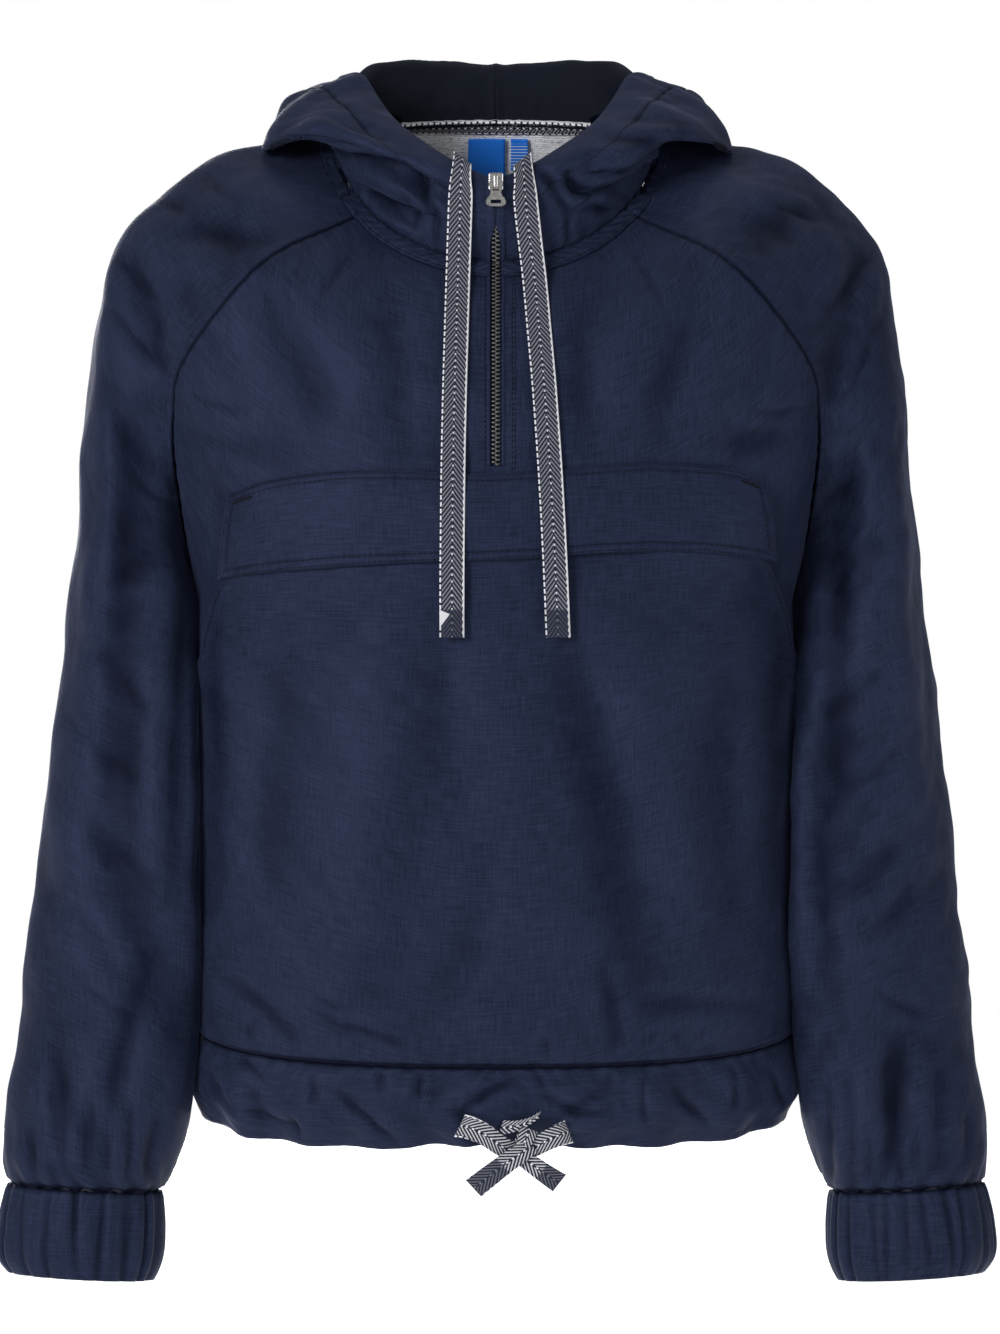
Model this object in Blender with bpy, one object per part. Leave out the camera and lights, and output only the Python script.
"""Half-zip hooded pullover, held out as if worn: hollow, with raglan sleeves, gathered cuffs and the hood down.

Metres, +Z up. The front faces -Y and the wearer's left is +X. The origin is the middle of the neck opening,
level with its side points, where the shoulders carry the garment. Tables and named sizes are in millimetres.
Every panel is a grid of points: seen from outside, its columns run left to right and its rows top to bottom.
"""

import math

import bmesh
import bpy
import numpy as np

MM = 0.001

# Cloth and the gaps between sewn pieces
SHELL = 1.6
BAND_CLOTH = 2.4
TRIM_CLOTH = 1.1
LABEL_CLOTH = 0.8
LINING_SHORT = 2.5
LINING_ROWS = 4
SEAM_GAP = 0.3
LAID_GAP = 0.35
RING_GAP = 0.6

# Neck seam, an oval tipped forward
NECK_HALF_WIDTH = 95.0
NECK_FORWARD = 78.0
NECK_BACKWARD = 70.0
NECK_DROP = 77.0
NECK_RISE = 19.0
NECK_ROUNDING = 0.15
FRONT_RAGLAN_ANGLE = 53.0
BACK_RAGLAN_ANGLE = 140.0
NECK_BAND_WIDTH = 8.5
NECK_BAND_LIFT = 0.7
NECK_BAND_START = 1.5
NECK_TAPE_START = 0.5
NECK_TAPE_WIDTH = 8.5
NECK_TAPE_ANGLES = (80.0, 280.0)

# Grid sizes
BODY_COLUMNS = 20
CAP_ROWS = 9
SIDE_ROWS = 9
SLEEVE_COLUMNS = 20
ARM_ROWS = 11
CUFF_COLUMNS = 60
CUFF_ROWS = 2
HOOD_COLUMNS = 21
HOOD_ROWS = 20
HEM_SPLIT = 2

# Half zip
ZIP_SLOT = 7.0
ZIP_FOOT_HEIGHT = -201.0
ZIP_TOP_HEIGHT = -28.5


def table(columns, *rows):
    """A table with named columns, one array for each."""
    names = columns.split()
    return {name: np.array([row[i] for row in rows], float) for i, name in enumerate(names)}


# Raglan cap of the sleeve from the neck to the armpit: each section starts on the front seam, crosses the
# ridge of the shoulder and ends on the back seam. rise is the slope of the ridge's crossing, turn how far the
# cloth falls away where it leaves a seam (negative: it swells forward first), and the pulls say how full each
# end of the arc is. The first row's seam points are worked out from the neck.
CAP = table(
    "along ridge_x ridge_y ridge_z rise ridge_pull front_x front_y front_z front_turn front_pull"
    " back_x back_y back_z back_turn back_pull",
    (0, 95, 0, 0, 30, 24, 76, -47, -46, 36, 24, 61, 54, 13, 58, 22),
    (92, 187, 3, -22, 22, 42, 148, -86, -88, 34, 42, 118, 92, -48, 36, 42),
    (147, 229, 4, -65, 10, 44, 187, -74, -141, 36, 34, 160, 88, -118, 34, 40),
    (185, 238, 4, -102, 6, 54, 191, -62, -168, 2, 34, 174, 76, -160, 10, 40),
    (263, 247, 3, -180, 2, 74, 187, -36, -224, -52, 58, 182, 44, -222, -46, 62),
    (345, 254, 2, -262, 0, 88, 178, 2, -276, -90, 88, 178, 2, -276, -90, 88),
)
ARMPIT = CAP["along"][-1]

# Rings of the sleeve below the armpit, each from the line nearest the body round the front, the ridge and
# the back. lean turns the nearest stretch to follow the side of the body, which it lies against.
ARM = table(
    "along ridge_x ridge_z inner_x inner_y inner_z lean middle front_depth back_depth",
    (345, 254, -262, 178, 2, -276, 0, 2, 66, 66),
    (372, 257, -289, 182, -4, -303, 0.06, 1, 65, 65),
    (400, 260, -317, 181.5, -18, -330, 0.13, 0, 63, 64),
    (445, 266, -362, 179.5, -34, -374, 0.16, -3, 60, 61),
    (515, 274, -431, 179, -38, -441, 0.17, -8, 56, 56),
    (575, 281, -490, 179, -38, -499, 0.17, -13, 52, 52),
    (635, 287, -549, 181, -36, -556, 0.12, -18, 49, 49),
    (680, 292, -594, 187, -28, -600, 0.05, -21, 47, 46),
    (699, 293, -613, 194, -23, -618, 0, -22, 43, 42),
    (709, 290, -622.5, 200, -23, -627.5, 0, -23, 38, 38),
)
CUFF = table(
    "along ridge_x ridge_z inner_x inner_y inner_z lean middle front_depth back_depth",
    (0, 291, -623.5, 199.5, -23, -628.5, 0, -23, 38, 38),
    (22, 296, -646, 198, -24, -651, 0, -24, 39, 39),
    (44, 296, -668, 200, -25, -671, 0, -25, 38, 38),
    (54, 291, -676, 204, -25, -681, 0, -25, 36, 36),
)

# Body: the middle line of the front and of the back, and the side seams
FRONT_LINE = table(
    "height depth",
    (-560, -117), (-450, -118), (-360, -120), (-276, -122), (-215, -121), (-170, -114), (-120, -98),
    (-77, -78),
)
BACK_LINE = table(
    "height depth",
    (-560, 106), (-450, 107), (-276, 109), (-180, 112), (-120, 111), (-70, 103), (-20, 88), (19, 70),
)
SIDE_LINE = table("height half_width", (-560, 180), (-450, 179.5), (-360, 180), (-310, 179.4), (-276, 177.7))
SIDE_DEPTH = 2.0
BODY_SQUARENESS = 0.80
HEM_SEAM_SIDE = -527.0
HEM_SEAM_FRONT = -549.0
HEM_SEAM_BACK = -540.0

# Hem band: how far each row stands out from the hem seam, and its share of the band's height
HEM_BAND = table("share out", (0.0, 0.0), (0.3, 3.5), (0.65, 4.5), (1.0, -4.0))
HEM_HEIGHT = table("across height", (0, 46), (90, 50), (150, 52), (178, 52))
HEM_GATHERS = table(
    "turn width depth",
    (-158, 6, 5), (-137, 5, 6), (-118, 7, 5), (-96, 5, 4), (-72, 6, 5), (-55, 5, 6), (-40, 6, 5),
    (-17, 6, 7), (14, 6, 7), (33, 5, 5), (50, 6, 7), (66, 5, 5), (88, 6, 4), (104, 6, 5), (126, 5, 6),
    (147, 7, 5), (170, 6, 5),
)

# Hood, folded down: profiles from the neck seam to the edge of the hood, one for each direction round the neck.
# Every pair is how far out from the seam and how far up the cloth stands.
HOOD_PLACES = "stand crest fold inner foot outer casing edge".split()
HOOD = table(
    "angle " + " ".join(f"{place}_out {place}_up" for place in HOOD_PLACES),
    (2, 2, 8, 4, 17, 5, 26, 5, 33, 5, 39, 5, 44, 5, 47, 5, 49),
    (30, 3, 12, 6, 25, 6, 35, 9, 42, 11, 48, 9, 54, 2, 59, -5, 62),
    (60, 3, 10, 5, 21, 11, 28, 22, 31, 28, 35, 24, 44, 4, 53, -17, 56),
    (90, 2, 7, 12, 12, 23, 9, 34, 2, 46, -3, 37, 14, 13, 28, -14, 40),
    (105, 0, 9, 5, 18, 15, 17, 26, 4, 38, -2, 39, 18, 17, 28, -1, 34),
    (120, -2, 12, -3, 26, 5, 26, 17, 8, 36, -9, 41, 12, 29, 23, 16, 29),
    (135, 0, 15, 4, 33, 16, 30, 32, -4, 47, -28, 60, -18, 56, 8, 34, 22),
    (150, 2, 18, 8, 34, 22, 29, 38, -26, 54, -80, 72, -60, 74, -4, 52, 17),
    (165, 3, 17, 11, 32, 26, 25, 44, -58, 58, -132, 82, -104, 86, -16, 62, 13),
    (180, 3, 16, 12, 30, 28, 22, 46, -70, 60, -152, 86, -122, 90, -20, 66, 12),
    (195, 3, 17, 11, 32, 26, 25, 44, -58, 58, -132, 82, -104, 86, -16, 62, 13),
)
HOOD_BACK = 180.0

# Zip: teeth, tapes, the slider with its bail, and the pull
TEETH_WIDTH = 5.0
TEETH_PROUD = 0.2
ZIP_TAPE_SHORT = 4.0
ZIP_TAPE_REACH = 9.5
SLIDER_SIZE = (8.6, 2.4, 10.0)
SLIDER_GAP = 0.6
SLIDER_OVERREACH = 2.5
BAIL_SIZE = (2.4, 3.4, 6.8)
BAIL_SUNK = 0.4
BAIL_HOLE_CLEAR = 0.02
BAIL_HOLE = (4.0, 2.2, 4.6)
PULL_THICKNESS = 1.3
PULL_OUTLINE = table("down half_width", (-0.8, 3.6), (0.4, 4.0), (2.0, 4.2), (4.6, 3.6), (6.6, 3.0),
                     (8.4, 3.6), (10.2, 5.2), (12.2, 6.0), (13.8, 5.4), (14.8, 3.4))
PULL_WINDOW = (3.8, 4.9)
PULL_WINDOW_MIDDLE = 3.1
PULL_SLOT = (6.0, 2.2)
PULL_SLOT_DOWN = 12.0

# Largest folds of the sleeves, as lines in the front view (a trough has a negative depth)
SLEEVE_FOLDS = table(
    "side x0 z0 x1 z1 width depth",
    (-1, -214, -168, -226, -300, 17, -7),
    (-1, -226, -300, -222, -440, 19, -9),
    (-1, -222, -440, -200, -530, 17, -6),
    (-1, -262, -556, -246, -606, 10, -5),
    (-1, -186, -44, -150, -64, 14, -4),
    (1, 204, -180, 200, -300, 17, -8),
    (1, 200, -300, 206, -440, 18, -8),
    (1, 236, -226, 216, -262, 12, -5),
    (1, 246, -540, 238, -606, 11, -5),
    (1, 190, -44, 152, -60, 13, -4),
)
CUFF_GATHERS = 15
CUFF_GATHER_DEPTH = 1.7

# Chest flap, and the pocket below it with its curved side openings, in the front view
FLAP_TOP = table("across height", (-157, -216), (-138, -209), (-109, -204), (0, -204), (112, -198), (140, -201),
                 (158, -208))
FLAP_FOOT = table("across height", (-160, -263), (-90, -258), (0, -254), (90, -249), (120, -249), (165, -253))
FLAP_ENDS = (-157.0, 158.0)
FLAP_CLOTH = 1.8
FLAP_LIFT = table("share lift", (0.0, 0.9), (0.15, 1.7), (0.4, 3.3), (0.7, 4.0), (1.0, 4.2))
SIDE_LIFT = 1.7
POCKET_CLOTH = 1.4
POCKET_TOP_LAP = 6.0
POCKET_EDGE = table("height across", (-338, 179.4), (-315, 177.0), (-290, 172), (-268, 165), (-245, 155))
POCKET_LIFT = table("height lift", (-560, 0.35), (-362, 0.35), (-332, 0.9), (-290, 1.2), (-240, 1.3))
POCKET_EDGE_STEP = 0.35

# Drawcord of the hood: a flat tape over the hood's edge on each side of the zip
CORD_WIDTH = 14.5
CORD_CLOTH = 1.2
RIGHT_CORD = table(
    "across depth height lean",
    (-19.4, -71.5, -41, 1), (-19.5, -71.3, -30, 1), (-19.6, -73.0, -20.3, 1), (-19.7, -77.6, -16.9, 1),
    (-19.8, -82.0, -20, 1), (-20.2, -84.2, -27, 0.8), (-20.8, -85.0, -40, 0.2), (-21.6, -85.8, -64, 0),
    (-22.4, -88.4, -90, 0), (-23.2, -100.4, -120, 0), (-24, -110.8, -150, 0), (-24.8, -120.6, -190, 0),
    (-25.1, -126.6, -215, 0), (-25.3, -129.9, -240, 0), (-25.5, -130.6, -265, 0),
    (-25.5, -130.2, -299, 0),
)
LEFT_CORD = table(
    "across depth height lean",
    (15.4, -72.3, -43, 1), (15.5, -72.1, -34, 1), (15.6, -73.2, -21.6, 1), (15.7, -78.4, -17.6, 1),
    (15.9, -83.4, -21.4, 1), (16.4, -85.2, -29.5, 0.8), (17.4, -86.0, -42, 0.2), (20, -86.4, -66, 0),
    (22.8, -88.8, -90, 0), (25.4, -100.4, -120, 0), (28, -110.8, -150, 0), (30.8, -120.4, -190, 0),
    (32.3, -126.4, -215, 0), (33.6, -129.6, -240, 0), (34.8, -130.4, -265, 0), (36.2, -129.9, -299, 0),
)
HOOD_EDGE_SLOPE = (0.497, 0.805)

# Tie of the hem's drawcord: knot, the two strands from the casing and the two ends
TIE_DEPTH = -127.0
TIE_KNOT = (15.0, -592.0)
TIE_KNOT_SIZE = (17.0, 8.0, 17.0)
TIE_WIDTH = 13.0
TIE = {
    "hem_tie_left_strand": table(
        "across depth height", (-17, -121.5, -577), (-12, -125.5, -580), (-2, -127.5, -586), (6, -127, -591)),
    "hem_tie_right_strand": table(
        "across depth height",
        (42, -121.5, -584), (36, -125.5, -586), (30, -126.8, -589), (22.8, -127, -591.2)),
    "hem_tie_left_end": table(
        "across depth height", (12, -131, -597), (4, -131.5, -604), (-6, -130.5, -613), (-13, -129, -619)),
    "hem_tie_right_end": table(
        "across depth height",
        (17, -129.5, -601.5), (23, -129.5, -606), (30, -128.5, -611), (36, -127, -615.5)),
}
TIE_SLOPES = {
    "hem_tie_left_strand": (0.45, 0, 0.9),
    "hem_tie_right_strand": (0.5, 0, -0.86),
    "hem_tie_left_end": (0.75, 0, -0.66),
    "hem_tie_right_end": (0.6, 0, 0.8),
}

# Labels at the back neck, as spans across and heights
MAIN_LABEL = (-17.0, 5.5, 8.0, -16.0)
SIZE_LABEL = (9.2, 20.0, 8.0, -10.5)
CARE_LABEL_PLACE = (-181.3, 3.2, -492.0)
CARE_LABEL_SIZE = (2.6, 0.8, 6.0)


def smooth(keys, values, at):
    """The value at a place on a smooth curve through a table's rows."""
    keys = np.asarray(keys, float)
    values = np.asarray(values, float)
    slopes = np.gradient(values, keys, axis=0)
    low = np.clip(np.searchsorted(keys, at) - 1, 0, len(keys) - 2)
    step = keys[low + 1] - keys[low]
    t = np.clip((at - keys[low]) / step, 0, 1)
    return ((1 + 2 * t) * (1 - t) ** 2 * values[low] + t * (1 - t) ** 2 * step * slopes[low]
            + t * t * (3 - 2 * t) * values[low + 1] + t * t * (t - 1) * step * slopes[low + 1])


def row_of(rows, key, at):
    """Every column of a table at one value of its key."""
    return {name: float(smooth(rows[key], column, at)) for name, column in rows.items()}


def unit(vector):
    """The vector with length 1."""
    return vector / np.maximum(np.linalg.norm(vector, axis=-1, keepdims=True), 1e-9)


def spaced(line, count):
    """The line again with count + 1 points evenly along it."""
    line = np.asarray(line, float)
    along = np.concatenate([[0], np.cumsum(np.linalg.norm(np.diff(line, axis=0), axis=1))])
    at = np.linspace(0, along[-1], count + 1)
    return np.stack([np.interp(at, along, line[:, k]) for k in range(3)], axis=1)


def bezier(start, start_pull, end_pull, end, count=24):
    """Points on the cubic from start to end, pulled by two vectors."""
    t = np.linspace(0, 1, count + 1)[:, None]
    return ((1 - t) ** 3 * start + 3 * t * (1 - t) ** 2 * (start + start_pull)
            + 3 * t * t * (1 - t) * (end + end_pull) + t ** 3 * end)


def normals(grid):
    """Outward direction at every point of a grid."""
    down, across = np.gradient(grid, axis=(0, 1))
    return unit(np.cross(down, across))


def mirrored(grid):
    """The same panel for the wearer's other side."""
    return grid[:, ::-1] * np.array([-1.0, 1.0, 1.0])


# ---------------------------------------------------------------- form of the garment


def neck_point(angle):
    """Point on the neck seam, angle in degrees from the front round the wearer's left to the back."""
    c, s = math.cos(math.radians(angle)), math.sin(math.radians(angle))
    soft = NECK_ROUNDING
    bend = (math.hypot(c, soft) - soft) / (math.hypot(1, soft) - soft)
    return np.array([
        NECK_HALF_WIDTH * s,
        -(NECK_FORWARD + NECK_BACKWARD) / 2 * c - (NECK_FORWARD - NECK_BACKWARD) / 2 * bend,
        -(NECK_DROP + NECK_RISE) / 2 * c - (NECK_DROP - NECK_RISE) / 2 * bend,
    ])


def neck_way(points):
    """Direction in which the cloth's outside faces at points of the neck seam."""
    return unit(unit(points * [1, 1, 0]) + [0, 0, 0.5])


def seam_end(along, side):
    """Point of the front or back raglan seam."""
    if along <= 0:
        return neck_point(FRONT_RAGLAN_ANGLE if side == "front" else BACK_RAGLAN_ANGLE)
    s = row_of(CAP, "along", along)
    return np.array([s[side + "_x"], s[side + "_y"], s[side + "_z"]])


def leaving(seam, ridge, side, turn):
    """Direction in which the sleeve leaves a seam: towards the ridge, turned away from the body by an angle."""
    toward = unit(np.array([ridge[0] - seam[0], 0.0, ridge[2] - seam[2]]))
    angle = math.radians(turn)
    return toward * math.cos(angle) + np.array([0.0, side * math.sin(angle), 0.0])


def cap_section(along):
    """Section of the raglan cap, from the front seam over the ridge to the back seam."""
    s = row_of(CAP, "along", along)
    ridge = np.array([s["ridge_x"], s["ridge_y"], s["ridge_z"]])
    front = seam_end(along, "front")
    back = seam_end(along, "back")
    rise = math.radians(s["rise"])
    crossing = np.array([0.0, math.cos(rise), math.sin(rise)]) * s["ridge_pull"]
    front_away = leaving(front, ridge, 1, s["front_turn"]) * s["front_pull"]
    back_away = leaving(back, ridge, -1, s["back_turn"]) * s["back_pull"]
    first = bezier(front, front_away, -crossing, ridge)
    second = bezier(ridge, crossing, back_away, back)
    return np.concatenate([first, second[1:]])


def neck_section():
    """The sleeve's edge on the neck seam."""
    return np.array([neck_point(a) for a in np.linspace(FRONT_RAGLAN_ANGLE, BACK_RAGLAN_ANGLE, 97)])


def arm_ring(rows, along):
    """Closed ring of the sleeve or cuff, from the underarm line round the front, the ridge and the back."""
    s = row_of(rows, "along", along)
    ridge = np.array([s["ridge_x"], s["middle"], s["ridge_z"]])
    inner = np.array([s["inner_x"], s["inner_y"], s["inner_z"]])
    shift = (s["inner_y"] - s["middle"]) / 2
    along_body = np.array([s["lean"], 1.0, 0.0])
    straight = np.array([0.0, 1.0, 0.0])
    front = -(s["front_depth"] + shift) * 4 / 3
    back = (s["back_depth"] - shift) * 4 / 3
    first = bezier(inner, along_body * front, straight * front, ridge)
    second = bezier(ridge, straight * back, along_body * back, inner)
    return np.concatenate([first, second[1:]])


def cap_places():
    """Where the rows between the neck and the armpit lie, the same for sleeves, front and back."""
    return np.linspace(0, ARMPIT, CAP_ROWS + 1)


def half_oval(end, middle, opening, squareness, start):
    """Half a row of the body, from its middle line to its end, as part of an oval that opens to an angle."""
    full = math.radians(opening)
    turn = np.linspace(0, 1, 49) * full
    foot = math.cos(full) ** squareness if opening < 89.9 else 0.0
    share = (np.cos(turn).clip(0) ** squareness - foot) / (1 - foot)
    x = end[0] * (np.sin(turn) / math.sin(full)) ** squareness
    y = end[1] + (middle[1] - end[1]) * share
    z = end[2] + (middle[2] - end[2]) * share
    return from_start(np.stack([x, y, z], axis=1), start)


def from_start(line, start):
    """The part of a half row that lies beyond a distance from the middle."""
    if start <= 0:
        return line
    at = np.array([start, *(np.interp(start, line[:, 0], line[:, k]) for k in (1, 2))])
    return np.concatenate([[at], line[line[:, 0] > start + 1e-6]])


def body_rows(side, start):
    """Half rows of the front or back, from the neck to the hem seam, each from the middle line to the side."""
    front = side == "front"
    line = FRONT_LINE if front else BACK_LINE
    neck_middle = neck_point(0 if front else 180)
    ends = (0, FRONT_RAGLAN_ANGLE) if front else (180, BACK_RAGLAN_ANGLE)
    hem_middle = HEM_SEAM_FRONT if front else HEM_SEAM_BACK
    armpit_height = seam_end(ARMPIT, side)[2]
    rows = [from_start(np.array([neck_point(a) for a in np.linspace(*ends, 97)]), start)]
    for along in cap_places()[1:]:
        share = along / ARMPIT
        height = neck_middle[2] + (armpit_height - neck_middle[2]) * share
        middle = np.array([0.0, smooth(line["height"], line["depth"], height), height])
        opening = abs(ends[1] - ends[0]) + (90 - abs(ends[1] - ends[0])) * share ** 0.8
        squareness = 1 + (BODY_SQUARENESS - 1) * share
        rows.append(half_oval(seam_end(along, side), middle, opening, squareness, start))
    for share in np.linspace(0, 1, SIDE_ROWS + 1)[1:]:
        side_height = armpit_height + (HEM_SEAM_SIDE - armpit_height) * share
        height = armpit_height + (hem_middle - armpit_height) * share
        half_width = smooth(SIDE_LINE["height"], SIDE_LINE["half_width"], side_height)
        end = np.array([half_width, SIDE_DEPTH, side_height])
        middle = np.array([0.0, smooth(line["height"], line["depth"], height), height])
        rows.append(half_oval(end, middle, 90, BODY_SQUARENESS, start))
    return rows


def front_grid():
    """The front, with its two middle columns on the edges of the zip opening."""
    right = np.array([spaced(row, BODY_COLUMNS // 2) for row in body_rows("front", ZIP_SLOT / 2)])
    return np.concatenate([mirrored(right), right], axis=1)


def back_grid():
    """The back, seen from behind: from the wearer's left to the right."""
    left = np.array([spaced(row, BODY_COLUMNS // 2) for row in body_rows("back", 0)])[:, ::-1]
    return np.concatenate([left, mirrored(left)[:, 1:]], axis=1)


def fold_room(rows, columns):
    """How freely each point of a sleeve may move: not at all on its seams."""
    r = np.arange(rows)[:, None]
    c = np.arange(columns)[None, :]
    ends = np.clip(r / 2, 0, 1) * np.clip((rows - 1 - r) / 2, 0, 1)
    sides = np.where(r <= CAP_ROWS + 1, np.clip(np.minimum(c, columns - 1 - c) / 3, 0, 1), 1.0)
    return ends * sides


def folded(grid, side, folds):
    """The grid with its largest folds pushed in or out, on the side of the cloth that faces the front."""
    out = normals(grid)
    push = np.zeros(grid.shape[:2])
    for k in np.flatnonzero(folds["side"] == side):
        a = np.array([folds["x0"][k], folds["z0"][k]])
        b = np.array([folds["x1"][k], folds["z1"][k]])
        p = grid[..., [0, 2]]
        t = np.clip(((p - a) @ (b - a)) / ((b - a) @ (b - a)), 0, 1)
        away = np.linalg.norm(p - a - t[..., None] * (b - a), axis=-1)
        push += folds["depth"][k] * np.exp(-(away / folds["width"][k]) ** 2)
    facing = np.clip(-out[..., 1] * 1.6, 0, 1)
    return grid + out * (push * facing * fold_room(*grid.shape[:2]))[..., None]


def sleeve_grid(side):
    """One sleeve: open sections over the shoulder, then closed rings down to the cuff."""
    caps = [neck_section()] + [cap_section(along) for along in cap_places()[1:]]
    places = ARMPIT + (ARM["along"][-1] - ARMPIT) * np.linspace(0, 1, ARM_ROWS + 1)[1:] ** 0.93
    rings = [arm_ring(ARM, along) for along in places]
    grid = np.array([spaced(line, SLEEVE_COLUMNS) for line in caps + rings])
    if side < 0:
        grid = mirrored(grid)
    return folded(grid, side, SLEEVE_FOLDS)


def cuff_grid(side):
    """One cuff, gathered all round on its elastic."""
    rows = []
    for along in np.linspace(0, CUFF["along"][-1], CUFF_ROWS + 1):
        ring = spaced(arm_ring(CUFF, along), CUFF_COLUMNS)
        turn = np.linspace(0, 2 * math.pi, CUFF_COLUMNS + 1)
        wave = np.cos(CUFF_GATHERS * turn + 0.9 * np.sin(2 * turn)) * (1 + 0.35 * np.cos(3 * turn + 1))
        away = unit((ring - ring.mean(axis=0)) * [1, 1, 0])
        rows.append(ring + away * (wave * CUFF_GATHER_DEPTH)[:, None])
    grid = np.array(rows)
    return mirrored(grid) if side < 0 else grid


def hood_profile(angle):
    """Profile of the folded hood in one direction round the neck, from the neck seam to the hood's edge."""
    outs = [0.0] + [float(smooth(HOOD["angle"], HOOD[place + "_out"], angle)) for place in HOOD_PLACES]
    ups = [RING_GAP] + [float(smooth(HOOD["angle"], HOOD[place + "_up"], angle)) for place in HOOD_PLACES]
    profile = np.stack([outs, ups], axis=1)
    stops = np.arange(len(profile))
    fine = np.array([smooth(stops, profile, at) for at in np.linspace(0, len(profile) - 1, 97)])
    outward = np.array([math.sin(math.radians(angle)), -math.cos(math.radians(angle)), 0.0])
    return neck_point(angle) + fine[:, :1] * outward + fine[:, 1:] * np.array([0, 0, 1.0])


def hood_grid(side):
    """Half the hood, from its edge down to the neck seam, and from the zip round to the middle of the back."""
    angles = np.linspace(HOOD["angle"][0], HOOD_BACK, HOOD_COLUMNS)
    grid = np.stack([spaced(hood_profile(angle), HOOD_ROWS)[::-1] for angle in angles], axis=1)
    grid[:, -1, 0] = SEAM_GAP / 2
    grid[:, 0, 0] = ZIP_SLOT / 2
    return mirrored(grid) if side < 0 else grid


def hem_grid(front, back):
    """The hem band, hung from the last rows of the front and the back and gathered by its drawcord."""
    half = front.shape[1] // 2
    ring = np.concatenate([front[-1, half:], back[-1, 1:-1], front[-1, :half], front[-1, half:half + 1]])
    steps = np.arange((len(ring) - 1) * HEM_SPLIT) / HEM_SPLIT
    ring = np.stack([np.interp(steps, np.arange(len(ring)), ring[:, k]) for k in range(3)], axis=1)
    tangent = unit((np.roll(ring, -1, axis=0) - np.roll(ring, 1, axis=0)) * [1, 1, 0])
    outward = np.stack([tangent[:, 1], -tangent[:, 0], np.zeros(len(ring))], axis=1)
    turn = np.degrees(np.arctan2(ring[:, 0], -ring[:, 1]))
    gap = (turn[:, None] - HEM_GATHERS["turn"] + 180) % 360 - 180
    gather = (HEM_GATHERS["depth"] * np.exp(-(gap / HEM_GATHERS["width"]) ** 2)).sum(axis=1)
    height = smooth(HEM_HEIGHT["across"], HEM_HEIGHT["height"], np.abs(ring[:, 0]))
    rows = []
    for share, out in zip(HEM_BAND["share"], HEM_BAND["out"]):
        push = out - gather * share * (1.25 - 0.25 * share)
        drop = SEAM_GAP + height * share - 0.35 * gather * share
        rows.append(ring + outward * push[:, None] - drop[:, None] * np.array([0, 0, 1.0]))
    grid = np.array(rows)
    return np.concatenate([grid, grid[:, :1]], axis=1)


# ---------------------------------------------------------------- panels and seams


class Panel:
    """A sheet of cloth: a grid of points on its outside, and the direction its outside faces at each."""

    def __init__(self, grid):
        self.points = grid.copy()
        self.way = normals(grid)

    def centre(self):
        """Middle of the panel."""
        return self.points.reshape(-1, 3).mean(axis=0)

    def soften(self):
        """Evens out the directions, so that the wall stays clear of itself in tight folds."""
        around = self.way.copy()
        around[1:-1] += (self.way[:-2] + self.way[2:]) / 2
        around[:, 1:-1] += (self.way[:, :-2] + self.way[:, 2:]) / 2
        self.way = unit(around)

    def level(self, rows):
        """Turns the given rows' directions level, so a piece can be joined above or below."""
        self.way[rows] = unit(self.way[rows] * [1, 1, 0])


def sew(a, a_edge, b, b_edge):
    """Cuts two panels along the seam they share, so that their walls meet face to face across the seam gap."""
    line = a.points[a_edge].copy()
    way = unit(a.way[a_edge] + b.way[b_edge])
    across = unit(np.cross(np.gradient(line, axis=0), way))
    inside = a.points[neighbours(a, a_edge)] - line
    across *= np.sign((across * inside).sum())
    a.points[a_edge] += across * SEAM_GAP / 2
    b.points[b_edge] -= across * SEAM_GAP / 2
    a.way[a_edge] = way
    b.way[b_edge] = way


def neighbours(panel, edge):
    """The column next to an edge column."""
    rows, column = edge
    return rows, 1 if column == 0 else column - 1


def garment_panels():
    """The front, back and sleeves, cut along their seams."""
    front, back = Panel(front_grid()), Panel(back_grid())
    sleeves = {side: Panel(sleeve_grid(side)) for side in (1, -1)}
    cap = slice(0, CAP_ROWS + 1)
    below = slice(CAP_ROWS, None)
    armpit = front.points[CAP_ROWS, -1].copy()
    for side, sleeve in sleeves.items():
        front_column, back_column = (-1, 0) if side > 0 else (0, -1)
        sew(front, (cap, front_column), sleeve, (cap, back_column))
        sew(back, (cap, back_column), sleeve, (cap, front_column))
        sew(front, (below, front_column), back, (below, back_column))
        at = armpit * [side, 1, 1]
        half = SEAM_GAP / 2
        front.points[CAP_ROWS, front_column] = at + [-side * half, -half, 0]
        back.points[CAP_ROWS, back_column] = at + [-side * half, half, 0]
        front.way[CAP_ROWS, front_column] = back.way[CAP_ROWS, back_column] = [side, 0, 0]
        sleeve.points[CAP_ROWS, [0, -1]] = at + [side * SEAM_GAP, 0, 0]
        sleeve.points[CAP_ROWS + 1:, -1] = sleeve.points[CAP_ROWS + 1:, 0]
        around = unit(sleeve.way[CAP_ROWS:, 0] + sleeve.way[CAP_ROWS:, -1])
        sleeve.way[CAP_ROWS:, 0] = sleeve.way[CAP_ROWS:, -1] = around
        sleeve.way[CAP_ROWS, [0, -1]] = unit(np.array([-side * 0.3, 0, -1.0]))
        sleeve.level(-1)
    for panel in (front, back, *sleeves.values()):
        panel.way[0] = neck_way(panel.points[0])
        panel.points[0] -= [0, 0, SEAM_GAP / 2]
    front.level(-1)
    back.level(-1)
    return front, back, sleeves


def hood_panel(side):
    """Half the hood, cut level at the neck seam and square at its middle seam."""
    hood = Panel(hood_grid(side))
    hood.soften()
    hood.way[-1] = neck_way(hood.points[-1])
    middle = -1 if side > 0 else 0
    hood.way[:, middle] = unit(hood.way[:, middle] * [0, 1, 1])
    return hood


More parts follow.
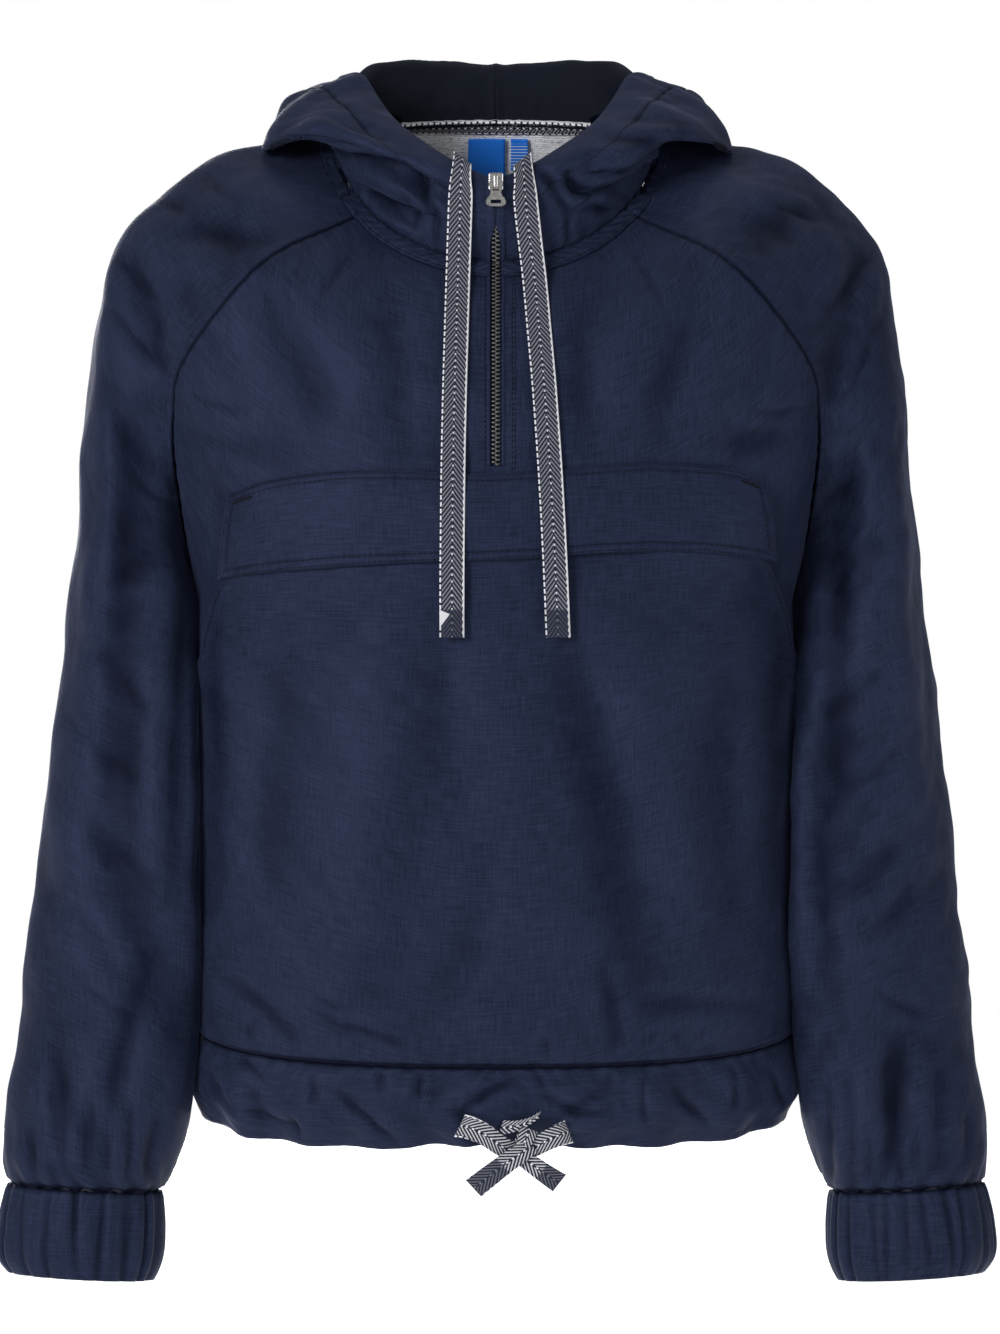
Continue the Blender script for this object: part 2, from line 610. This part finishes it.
def ring_panel(grid):
    """A closed band of cloth, with level ends."""
    panel = Panel(grid)
    tangent = unit(np.roll(grid[:, :-1], -1, axis=1) - np.roll(grid[:, :-1], 1, axis=1))
    down = np.gradient(grid[:, :-1], axis=0)
    way = unit(np.cross(down, tangent))
    panel.way = np.concatenate([way, way[:, :1]], axis=1)
    panel.level(0)
    panel.level(-1)
    return panel


def on_column(panel, column, height):
    """Point of a panel at a height on a column, which may lie between two of its columns."""
    low = min(int(column), panel.points.shape[1] - 2)
    share = column - low
    line = panel.points[:, low] * (1 - share) + panel.points[:, low + 1] * share
    way = panel.way[:, low] * (1 - share) + panel.way[:, low + 1] * share
    place = [np.interp(-height, -line[:, 2], line[:, k]) for k in range(3)]
    return np.array(place), unit(np.array([np.interp(-height, -line[:, 2], way[:, k]) for k in range(3)]))


def column_at(panel, across, height):
    """The column, often between two, on which a panel is this far across at a height."""
    places = np.linspace(0, panel.points.shape[1] - 1, 211)
    spans = np.array([on_column(panel, c, height)[0][0] for c in places])
    return float(np.interp(across, *((spans, places) if spans[-1] > spans[0] else (spans[::-1], places[::-1]))))


def side_lift(place):
    """How much further the flap and the pocket stand off at their outer corners, where the hand goes in."""
    side = np.clip((abs(place[0]) - 100) / 45, 0, 1)
    return SIDE_LIFT * side * np.clip((place[2] + 320) / 40, 0, 1)


def laid_on(panel, columns, tops, feet, shares, lifts):
    """Grid on a panel, between a top and a foot height on each column, moved out by a lift for each row."""
    grid = []
    for share, lift in zip(shares, lifts):
        row = []
        for column, top, foot in zip(columns, tops, feet):
            place, way = on_column(panel, column, top + (foot - top) * share)
            row.append(place + way * (lift + side_lift(place) * min(1, 2 * share)))
        grid.append(row)
    return np.array(grid)


def whole_columns(first, last):
    """Two ends and every whole column between them."""
    return [first] + [c for c in range(math.ceil(first + 0.2), math.floor(last - 0.2) + 1)] + [last]


def flap_grid(front):
    """The chest flap, sewn down along its top and standing a little off the front below."""
    middle = (FLAP_TOP["height"].mean() + FLAP_FOOT["height"].mean()) / 2
    columns = whole_columns(*(column_at(front, end, middle) for end in FLAP_ENDS))
    across = np.array([on_column(front, c, middle)[0][0] for c in columns])
    tops = smooth(FLAP_TOP["across"], FLAP_TOP["height"], across)
    feet = smooth(FLAP_FOOT["across"], FLAP_FOOT["height"], across)
    return laid_on(front, columns, tops, feet, FLAP_LIFT["share"], FLAP_LIFT["lift"] + FLAP_CLOTH)


def pocket_grid(front):
    """The pocket over the lower front, from under the flap to the hem seam, with a curved opening each side."""
    last = front.points.shape[1] - 1
    grid = []
    for r in [None] + list(range(CAP_ROWS, front.points.shape[0])):
        side_height = POCKET_EDGE["height"][-1] if r is None else front.points[r, last][2]
        edge = last
        if side_height > POCKET_EDGE["height"][0]:
            reach = np.interp(side_height, POCKET_EDGE["height"], POCKET_EDGE["across"])
            edge = column_at(front, reach, side_height)
        row = []
        for k in range(last + 1):
            column = min(k, edge - (last - k) * POCKET_EDGE_STEP)
            column = max(column, last - edge + k * POCKET_EDGE_STEP)
            if r is None:
                across = on_column(front, column, side_height)[0][0]
                height = smooth(FLAP_FOOT["across"], FLAP_FOOT["height"], across) + POCKET_TOP_LAP
            else:
                height = np.interp(column, np.arange(last + 1), front.points[r, :, 2])
            place, way = on_column(front, column, height)
            lift = np.interp(place[2], POCKET_LIFT["height"], POCKET_LIFT["lift"]) + side_lift(place)
            row.append(place + way * (lift + POCKET_CLOTH))
        grid.append(row)
    return np.array(grid)


def neck_ring(panels, start, end, near, far, lift):
    """Two rows beside the neck seam, on the panels below it, at distances near and far from the seam."""
    rows = [[], []]
    for panel, columns in panels:
        for column in columns:
            seam = panel.points[0, column]
            down = unit(panel.points[1, column] - seam)
            way = unit(panel.way[0, column] + panel.way[1, column])
            angle = math.degrees(math.atan2(seam[0], -seam[1])) % 360
            if start <= angle <= end:
                rows[0].append(seam + down * near + way * lift)
                rows[1].append(seam + down * far + way * lift)
    return np.array(rows)


def neck_order(front, back, sleeves):
    """Panels round the neck from the zip by the wearer's left back to the zip, with the columns of each."""
    half = front.points.shape[1] // 2
    middle = range(1, SLEEVE_COLUMNS)
    return (
        (front, range(half, 2 * half)), (sleeves[1], middle), (back, range(0, BODY_COLUMNS + 1)),
        (sleeves[-1], middle), (front, range(0, half)),
    )


# ---------------------------------------------------------------- solids


def make_material(name, colour, roughness, metallic=0.0):
    """A plain finish in the part's colour."""
    material = bpy.data.materials.new(name)
    material.use_nodes = True
    shader = material.node_tree.nodes["Principled BSDF"]
    shader.inputs["Base Color"].default_value = (*colour, 1.0)
    shader.inputs["Roughness"].default_value = roughness
    shader.inputs["Metallic"].default_value = metallic
    return material


def add_object(name, points, faces, material, smooth_faces=True):
    """A mesh object from points in millimetres."""
    mesh = bpy.data.meshes.new(name)
    mesh.from_pydata([tuple(float(v) * MM for v in p) for p in points], [], faces)
    mesh.materials.append(material)
    if smooth_faces:
        mesh.shade_smooth()
    obj = bpy.data.objects.new(name, mesh)
    bpy.context.scene.collection.objects.link(obj)
    return obj


def add_wall(name, panel, material, thickness, wraps=None, skip=None):
    """A wall behind a panel's outside: wraps(row) joins a row's ends, and skip(row, column) leaves a hole."""
    rows, columns = panel.points.shape[:2]
    outer, inner = [], []
    numbers = np.zeros((rows, columns), int)
    for r in range(rows):
        for c in range(columns):
            if wraps and wraps(r) and c == columns - 1:
                numbers[r, c] = numbers[r, 0]
                continue
            numbers[r, c] = len(outer)
            outer.append(panel.points[r, c])
            inner.append(panel.points[r, c] - panel.way[r, c] * thickness)
    numbers = numbers.tolist()
    faces = [
        (numbers[r][c], numbers[r + 1][c], numbers[r + 1][c + 1], numbers[r][c + 1])
        for r in range(rows - 1) for c in range(columns - 1) if not (skip and skip(r, c))
    ]
    sides = {(face[k], face[(k + 1) % 4]) for face in faces for k in range(4)}
    count = len(outer)
    borders = [(b, a, a + count, b + count) if b < a else (a, a + count, b + count, b)
               for a, b in sorted(sides) if (b, a) not in sides]
    backs = [(a + count, d + count, c + count, b + count) for a, b, c, d in faces]
    obj = add_object(name, outer + inner, faces + backs + borders, material)
    drop_loose(obj)
    split = obj.modifiers.new("same_diagonals", "TRIANGULATE")
    split.quad_method = "FIXED"
    return obj


def drop_loose(obj):
    """Removes points that no face uses."""
    work = bmesh.new()
    work.from_mesh(obj.data)
    bmesh.ops.delete(work, geom=[v for v in work.verts if not v.link_faces], context="VERTS")
    work.to_mesh(obj.data)
    work.free()


def add_strip(name, centres, across, width, thickness, material, square=True):
    """A flat tape along a line of points: across is the way of its width, turned square to it if wanted."""
    centres = np.asarray(centres, float)
    across = np.broadcast_to(np.asarray(across, float), centres.shape)
    tangent = unit(np.gradient(centres, axis=0))
    if square:
        across = unit(across - tangent * (across * tangent).sum(axis=1, keepdims=True))
    face = unit(np.cross(across, tangent))
    corners = ((-1, -1), (1, -1), (1, 1), (-1, 1))
    points = [c + a * (sx * width / 2) + f * (sy * thickness / 2)
              for c, a, f in zip(centres, across, face) for sx, sy in corners]
    faces = [(0, 1, 2, 3), tuple(4 * (len(centres) - 1) + k for k in (3, 2, 1, 0))]
    for r in range(len(centres) - 1):
        for k in range(4):
            a, b = 4 * r + k, 4 * r + (k + 1) % 4
            faces.append((a, a + 4, b + 4, b))
    obj = add_object(name, points, faces, material, smooth_faces=False)
    work = bmesh.new()
    work.from_mesh(obj.data)
    bmesh.ops.recalc_face_normals(work, faces=work.faces)
    work.to_mesh(obj.data)
    work.free()
    return obj


def add_block(name, centre, size, material, bevel=0.0):
    """A block in millimetres, with rounded edges if a bevel is given."""
    work = bmesh.new()
    bmesh.ops.create_cube(work, size=1.0)
    for vert in work.verts:
        vert.co = [(c + v * s) * MM for c, v, s in zip(centre, vert.co, size)]
    mesh = bpy.data.meshes.new(name)
    work.to_mesh(mesh)
    work.free()
    mesh.materials.append(material)
    obj = bpy.data.objects.new(name, mesh)
    bpy.context.scene.collection.objects.link(obj)
    if bevel:
        rounding = obj.modifiers.new("rounding", "BEVEL")
        rounding.width = bevel * MM
        rounding.segments = 2
    return obj


def combine(obj, other, operation):
    """Joins another object to a solid or cuts it away, and hides the other one."""
    change = obj.modifiers.new(operation.lower(), "BOOLEAN")
    change.operation = operation
    change.solver = "EXACT"
    change.object = other
    other.hide_render = True
    other.display_type = "WIRE"


# ---------------------------------------------------------------- zip


def zip_edge(front, hood):
    """The wearer's left edge of the zip opening, foot to top: points, outside directions and sideways."""
    half = front.points.shape[1] // 2
    points = np.concatenate([front.points[::-1, half], hood.points[::-1, 0]])
    beside = np.concatenate([front.points[::-1, half + 1], hood.points[::-1, 1]])
    way = np.concatenate([front.way[::-1, half], hood.way[::-1, 0]])
    inside = (points[:, 2] > ZIP_FOOT_HEIGHT + 1.0) & (points[:, 2] < ZIP_TOP_HEIGHT - ZIP_TAPE_SHORT)
    points, beside, way = points[inside], beside[inside], unit(way[inside] * [0, 1, 1])
    return points, way, unit(beside - points)


def build_zip(front, hood, finishes):
    """Teeth in the front's slot, the tapes behind it, the slider and its pull."""
    edge, way, sideways = zip_edge(front, hood)
    across = np.array([1.0, 0, 0])
    middle = edge * [0, 1, 1]
    teeth = middle - way * (SHELL / 2 - TEETH_PROUD)
    add_strip("zip_teeth", teeth, across, TEETH_WIDTH, SHELL, finishes["steel"])
    under = way * (SHELL + LAID_GAP)
    near = middle - under + across * SEAM_GAP / 2
    columns = [near, edge - under, edge - under + sideways * ZIP_TAPE_REACH]
    tape = Panel(np.stack([column[::-1] for column in columns], axis=1))
    add_wall("left_zip_tape", tape, finishes["navy"], TRIM_CLOTH)
    other = Panel(mirrored(tape.points))
    add_wall("right_zip_tape", other, finishes["navy"], TRIM_CLOTH)
    build_slider(middle[-1], finishes["steel"])


def build_slider(top, steel):
    """Slider with a bail standing on it, and the pull hanging from the bail on its own joint."""
    front_face = top[1] - SLIDER_GAP
    middle = ZIP_TOP_HEIGHT - SLIDER_SIZE[2] / 2 + SLIDER_OVERREACH
    plate = add_block("zip_slider", (0, front_face - SLIDER_SIZE[1] / 2, middle), SLIDER_SIZE, steel, 0.7)
    outside = front_face - SLIDER_SIZE[1]
    bail = add_block("bail_form", (0, outside - BAIL_SIZE[1] / 2 + BAIL_SUNK, middle), BAIL_SIZE, steel, 0.5)
    hole_depth = outside - BAIL_HOLE[1] / 2 - BAIL_HOLE_CLEAR
    hole = add_block("bail_hole", (0, hole_depth, middle), BAIL_HOLE, steel)
    combine(plate, bail, "UNION")
    combine(plate, hole, "DIFFERENCE")

    hinge = bpy.data.objects.new("zip_pull_hinge", None)
    bpy.context.scene.collection.objects.link(hinge)
    hinge.location = (0, hole_depth * MM, middle * MM)
    downs, halves = PULL_OUTLINE["down"], PULL_OUTLINE["half_width"]
    outline = [(h, -d) for d, h in zip(downs, halves)]
    outline += [(-h, -d) for d, h in zip(downs[::-1], halves[::-1])]
    count = len(outline)
    points = [(x, y, z) for y in (-PULL_THICKNESS / 2, PULL_THICKNESS / 2) for x, z in outline]
    faces = [tuple(range(count))[::-1], tuple(range(count, 2 * count))]
    faces += [(k, (k + 1) % count, (k + 1) % count + count, k + count) for k in range(count)]
    pull = add_object("zip_pull", points, faces, steel, smooth_faces=False)
    work = bmesh.new()
    work.from_mesh(pull.data)
    bmesh.ops.recalc_face_normals(work, faces=work.faces)
    work.to_mesh(pull.data)
    work.free()
    pull.parent = hinge
    holes = (("pull_window", PULL_WINDOW, PULL_WINDOW_MIDDLE), ("pull_slot", PULL_SLOT, PULL_SLOT_DOWN))
    for name, size, down in holes:
        cutter = add_block(name, (0, 0, -down), (size[0], 3 * PULL_THICKNESS, size[1]), steel)
        cutter.parent = hinge
        combine(pull, cutter, "DIFFERENCE")


# ---------------------------------------------------------------- trims


def build_inside_back(front, back, sleeves, finishes):
    """Lining, neck tape and labels that show through the neck opening."""
    lining = Panel(back.points[:LINING_ROWS, 1:-1])
    lining.way = back.way[:LINING_ROWS, 1:-1].copy()
    lining.points -= lining.way * (SHELL + LAID_GAP)
    lining.points[0] += unit(lining.points[1] - lining.points[0]) * LINING_SHORT
    add_wall("back_lining", lining, finishes["grey"], TRIM_CLOTH)

    lift = -(SHELL + LAID_GAP + TRIM_CLOTH + LAID_GAP)
    rows = neck_ring(neck_order(front, back, sleeves), *NECK_TAPE_ANGLES, NECK_TAPE_START,
                     NECK_TAPE_START + NECK_TAPE_WIDTH, lift)
    tape = Panel(rows)
    add_wall("neck_tape", tape, finishes["tape"], TRIM_CLOTH)

    for name, (x0, x1, top, foot) in (("main_label", MAIN_LABEL), ("size_label", SIZE_LABEL)):
        rows = []
        for height in (top, (top + foot) / 2, foot):
            row = []
            for x in np.linspace(x0, x1, 3):
                place, way = on_column(lining, column_at(lining, x, height), height)
                row.append(place - way * (TRIM_CLOTH + LAID_GAP + LABEL_CLOTH))
            rows.append(row)
        label = Panel(np.array(rows))
        add_wall(name, label, finishes["blue"], LABEL_CLOTH)


def build_cords(finishes):
    """The hood's drawcord, out over the hood's edge on each side of the zip and hanging down the front."""
    for name, route, side in (("right_drawcord", RIGHT_CORD, -1), ("left_drawcord", LEFT_CORD, 1)):
        points = np.stack([route["across"], route["depth"], route["height"]], axis=1)
        along_edge = np.array([0.0, *HOOD_EDGE_SLOPE]) * side
        turns = np.array([1.0, 0, 0]) + along_edge * route["lean"][:, None]
        stops = np.arange(len(points))
        places = np.linspace(0, len(points) - 1, 3 * len(points))
        fine = np.array([smooth(stops, points, at) for at in places])
        across = np.array([smooth(stops, turns, at) for at in places])
        add_strip(name, fine, across, CORD_WIDTH, CORD_CLOTH, finishes["tape"], square=False)


def build_tie(finishes):
    """The knot of the hem's drawcord with its strands and ends."""
    x, z = TIE_KNOT
    knot = add_block("hem_tie_knot", (x, TIE_DEPTH - 0.5, z), TIE_KNOT_SIZE, finishes["tape"])
    rounding = knot.modifiers.new("rounding", "SUBSURF")
    rounding.levels = rounding.render_levels = 2
    for name, route in TIE.items():
        points = np.stack([route["across"], route["depth"], route["height"]], axis=1)
        add_strip(name, points, TIE_SLOPES[name], TIE_WIDTH, CORD_CLOTH, finishes["tape"])


def main():
    """Clears the scene and builds every piece."""
    for obj in list(bpy.data.objects):
        bpy.data.objects.remove(obj)
    finishes = {
        "navy": make_material("navy_cloth", (0.018, 0.024, 0.052), 0.8),
        "grey": make_material("grey_melange", (0.33, 0.34, 0.37), 0.9),
        "tape": make_material("herringbone_tape", (0.30, 0.32, 0.40), 0.85),
        "blue": make_material("blue_label", (0.02, 0.24, 0.55), 0.6),
        "white": make_material("white_label", (0.75, 0.75, 0.75), 0.7),
        "steel": make_material("steel", (0.6, 0.6, 0.62), 0.3, 1.0),
    }
    navy = finishes["navy"]
    front, back, sleeves = garment_panels()
    slot = front.points.shape[1] // 2 - 1
    zip_rows = sum(1 for row in front.points if row[slot][2] > ZIP_FOOT_HEIGHT)
    add_wall("front", front, navy, SHELL, skip=lambda r, c: c == slot and r < zip_rows)
    add_wall("back", back, navy, SHELL)
    for side, name in ((1, "left"), (-1, "right")):
        add_wall(name + "_sleeve", sleeves[side], navy, SHELL, wraps=lambda r: r >= CAP_ROWS)
        add_wall(name + "_cuff", ring_panel(cuff_grid(side)), navy, BAND_CLOTH, wraps=lambda r: True)
        add_wall(name + "_hood", hood_panel(side), navy, SHELL)
    hem = ring_panel(hem_grid(front.points, back.points))
    add_wall("hem_band", hem, navy, BAND_CLOTH, wraps=lambda r: True)

    add_wall("chest_flap", Panel(flap_grid(front)), navy, FLAP_CLOTH)
    add_wall("pocket", Panel(pocket_grid(front)), navy, POCKET_CLOTH)
    lift = LAID_GAP + TRIM_CLOTH
    band = neck_ring(neck_order(front, back, sleeves), 0, 360, NECK_BAND_START,
                     NECK_BAND_START + NECK_BAND_WIDTH, lift + NECK_BAND_LIFT)
    add_wall("neck_band", Panel(band), navy, TRIM_CLOTH)
    build_zip(front, hood_panel(1), finishes)
    build_inside_back(front, back, sleeves, finishes)
    build_cords(finishes)
    build_tie(finishes)
    add_block("care_label", CARE_LABEL_PLACE, CARE_LABEL_SIZE, finishes["white"])


main()
